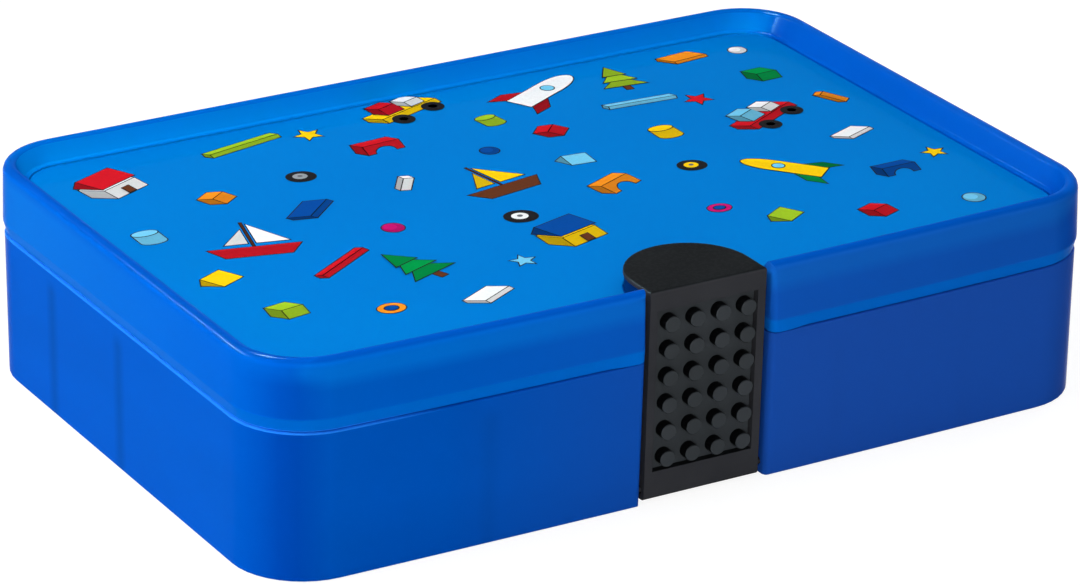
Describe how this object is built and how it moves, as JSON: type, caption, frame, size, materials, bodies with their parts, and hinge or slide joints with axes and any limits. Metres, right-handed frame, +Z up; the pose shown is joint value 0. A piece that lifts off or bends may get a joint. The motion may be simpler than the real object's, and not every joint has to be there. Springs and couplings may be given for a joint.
{
  "type": "building block storage box",
  "caption": "Flat rounded storage box in translucent plastic with a hinged lid, a printed recessed top, slide-in dividers and a studded front latch.",
  "frame": {"origin": "on the table, under the middle of the case, whose hinge knuckles are left out", "axes": "+X to the right along the long side, -Y out of the front with the latch, +Z up"},
  "size_m": [0.266, 0.1871, 0.0635],
  "materials": {
    "blue_translucent_plastic": "translucent, satin",
    "printed_sheet": "printed, satin",
    "black_plastic": "fine grain",
    "pin_steel": "drawn"
  },
  "bodies": {
    "base": {"base_tub": "blue_translucent_plastic", "divider_long_middle": "blue_translucent_plastic", "divider_long_rear": "blue_translucent_plastic", "divider_front_1": "blue_translucent_plastic", "divider_front_2": "blue_translucent_plastic", "divider_front_3": "blue_translucent_plastic", "divider_middle": "blue_translucent_plastic", "latch_pin": "black_plastic", "hinge_pin_left": "pin_steel", "hinge_pin_right": "pin_steel"},
    "lid": {"lid_shell": "blue_translucent_plastic", "lid_print_sheet": "printed_sheet"},
    "latch": {"latch_body": "black_plastic", "latch_stud_plate": "black_plastic"}
  },
  "joints": [
    {"name": "lid_hinge", "type": "hinge", "parent": "base", "child": "lid", "pos_m": [0, 0.0923, 0.04315], "axis": [-1, 0, 0], "range_deg": [0, 110]},
    {"name": "latch_hinge", "type": "hinge", "parent": "base", "child": "latch", "pos_m": [0, -0.0859, 0.0033], "axis": [1, 0, 0], "range_deg": [0, 78]}
  ]
}
